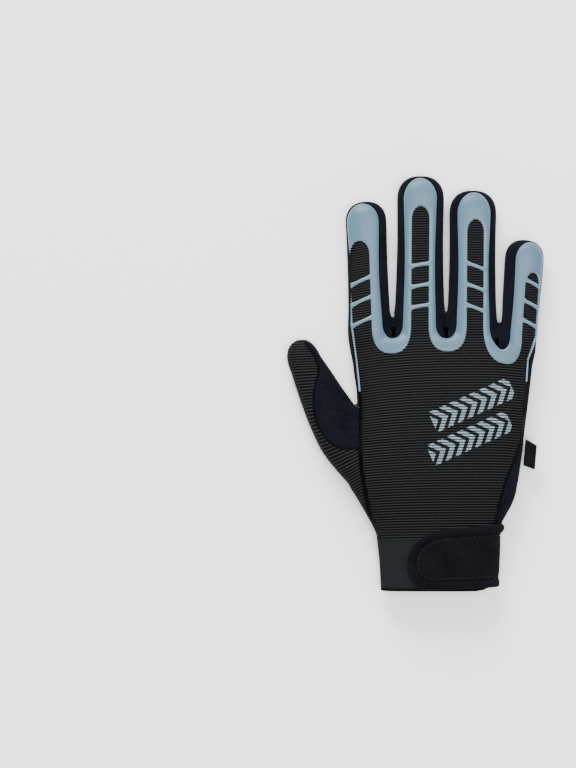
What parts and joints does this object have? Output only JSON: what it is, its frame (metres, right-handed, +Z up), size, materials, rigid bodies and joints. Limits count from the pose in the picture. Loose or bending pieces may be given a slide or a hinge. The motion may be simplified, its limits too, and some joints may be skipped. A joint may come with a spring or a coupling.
{
  "type": "mechanic glove",
  "caption": "Right-hand work glove with a ribbed stretch back, raised rubber finger guard, suede palm with gel padding, touch fingertip, elastic cuff and wrist strap.",
  "frame": {"origin": "middle of the glove's plan, on the surface that it lies on", "axes": "+Y from the cuff to the fingertips, +X towards the little finger, +Z up out of the back of the hand"},
  "size_m": [0.1486, 0.2402, 0.025],
  "materials": {
    "ribbed_cloth": "fine cross-ribbed stretch knit, matt black",
    "suede": "short-napped synthetic suede, dark navy",
    "guard_rubber": "semi-gloss moulded rubber, grey-blue",
    "touch_cloth": "smooth conductive cloth, black-green",
    "elastic": "twill-woven elastic, charcoal",
    "strap_cloth": "brushed laminate cloth, near black",
    "tape": "smooth woven tape, black"
  },
  "bodies": {
    "root": {"back_panel": "ribbed_cloth", "palm_panel": "suede", "thumb_back": "ribbed_cloth", "thumb_gusset": "suede", "finger_guard": "guard_rubber", "touch_patch": "touch_cloth", "cuff_band": "elastic", "strap_core": "strap_cloth", "strap_binding": "strap_cloth", "side_tag": "tape", "fourchette_index_middle": "suede", "fourchette_middle_ring": "suede", "fourchette_ring_little": "suede", "palm_pad_1": "suede", "palm_pad_2": "suede", "palm_pad_3": "suede"}
  },
  "joints": []
}
